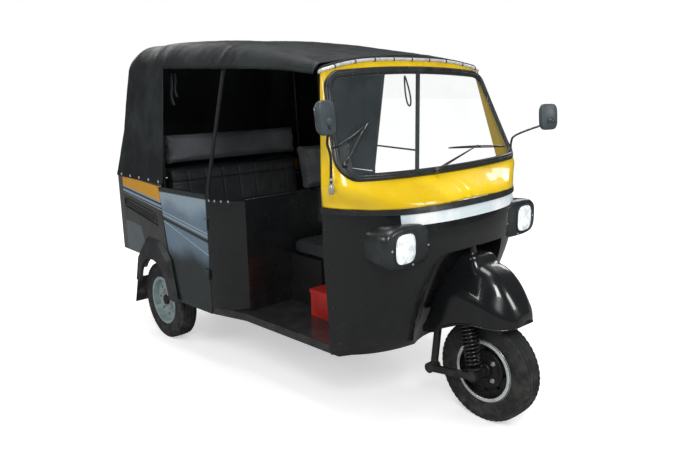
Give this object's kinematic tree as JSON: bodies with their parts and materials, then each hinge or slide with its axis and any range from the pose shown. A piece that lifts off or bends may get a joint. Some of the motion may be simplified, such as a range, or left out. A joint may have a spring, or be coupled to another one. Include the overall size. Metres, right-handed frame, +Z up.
{
  "type": "auto rickshaw",
  "caption": "Three-wheeled passenger rickshaw with a single steered front wheel, cab open at the sides, windscreen, half doors, padded bench and a fabric canopy.",
  "frame": {"origin": "on the ground, under the middle of the whole object", "axes": "+X forward, +Y to the vehicle's left, +Z up"},
  "size_m": [3.0032, 1.78, 2.0009],
  "materials": {
    "tyre_rubber": "ribbed road rubber, dusty",
    "black_rim": "gloss black with a bright outer lip",
    "silver_rim": "silver enamel, brake dust",
    "gloss_black_paint": "gloss black",
    "panel_paint": "metallic silver blue over dark grey",
    "grey_moulding": "satin grey",
    "white_strip": "retroreflective white",
    "yellow_paint": "gloss yellow",
    "bright_trim": "bright rolled",
    "seal_rubber": "satin",
    "window_glass": "clear",
    "black_plastic": "moulded grain",
    "smoked_plastic": "smoked",
    "lamp_glass": "bright reflector behind clear glass",
    "floor_paint": "checkered, worn",
    "rear_paint": "dark grey metallic",
    "flap_rubber": "moulded, muddy",
    "seat_vinyl": "grained black",
    "headrest_vinyl": "grained pale grey",
    "seat_box_paint": "satin dark grey",
    "canopy_fabric": "coated cloth with a low sheen",
    "black_steel": "satin black",
    "engine_metal": "cast, oily",
    "exhaust_steel": "heat stained",
    "spring_paint": "gloss black",
    "red_plastic": "moulded red",
    "red_lens": "ribbed red"
  },
  "bodies": {
    "body": {"front_shell": "gloss_black_paint", "belt_moulding": "grey_moulding", "reflective_strip": "white_strip", "front_cowl": "yellow_paint", "roof_visor": "yellow_paint", "roof_bead": "bright_trim", "windscreen_seal": "seal_rubber", "windscreen_glass": "window_glass", "dashboard": "black_plastic", "headlamp_housings": "smoked_plastic", "headlamp_lenses": "lamp_glass", "floor_pan": "floor_paint", "partition": "panel_paint", "quarter_panels": "rear_paint", "wheel_arches": "black_plastic", "mudflaps": "flap_rubber", "tail_panel": "rear_paint", "rear_deck": "floor_paint", "bench_cushion": "seat_vinyl", "bench_backrest": "seat_vinyl", "bench_headrest": "headrest_vinyl", "driver_seat_base": "seat_box_paint", "driver_cushion": "seat_vinyl", "driver_backrest": "seat_vinyl", "canopy": "canopy_fabric", "canopy_frame": "black_steel", "side_curtain": "canopy_fabric", "chassis_frame": "black_steel", "engine_block": "engine_metal", "exhaust": "exhaust_steel", "rear_suspension": "black_steel", "mirrors": "black_plastic", "battery_box": "red_plastic", "tail_lamps": "red_lens", "wipers": "black_plastic"},
    "steering": {"steering_fork": "black_steel", "front_link": "black_steel", "front_spring": "spring_paint", "front_fender": "gloss_black_paint"},
    "front_wheel": {"front_tyre": "tyre_rubber", "front_rim": "black_rim"},
    "rear_wheel_right": {"rear_tyre_right": "tyre_rubber", "rear_rim_right": "silver_rim"},
    "rear_wheel_left": {"rear_tyre_left": "tyre_rubber", "rear_rim_left": "silver_rim"},
    "right_door": {"door_right": "panel_paint"},
    "left_door": {"door_left": "panel_paint"},
    "rear_lid": {"engine_lid": "rear_paint"}
  },
  "joints": [
    {"name": "steering_turn", "type": "hinge", "parent": "body", "child": "steering", "pos_m": [1.2875, 0, 0.265], "axis": [-0.2756, 0, 0.9613], "range_deg": [-30, 30]},
    {"name": "front_wheel_spin", "type": "hinge", "parent": "steering", "child": "front_wheel", "pos_m": [1.2375, 0, 0.265], "axis": [0, 1, 0], "continuous": true},
    {"name": "rear_wheel_right_spin", "type": "hinge", "parent": "body", "child": "rear_wheel_right", "pos_m": [-0.9525, -0.645, 0.265], "axis": [0, 1, 0], "continuous": true},
    {"name": "rear_wheel_left_spin", "type": "hinge", "parent": "body", "child": "rear_wheel_left", "pos_m": [-0.9525, 0.645, 0.265], "axis": [0, 1, 0], "continuous": true},
    {"name": "right_door_swing", "type": "hinge", "parent": "body", "child": "right_door", "pos_m": [-0.2955, -0.7093, 0.7], "axis": [0, 0, 1], "range_deg": [0, 70]},
    {"name": "left_door_swing", "type": "hinge", "parent": "body", "child": "left_door", "pos_m": [-0.2955, 0.7093, 0.7], "axis": [0, 0, -1], "range_deg": [0, 70]},
    {"name": "rear_lid_lift", "type": "hinge", "parent": "body", "child": "rear_lid", "pos_m": [-1.4878, 0, 1.033], "axis": [0, 1, 0], "range_deg": [0, 60]}
  ]
}
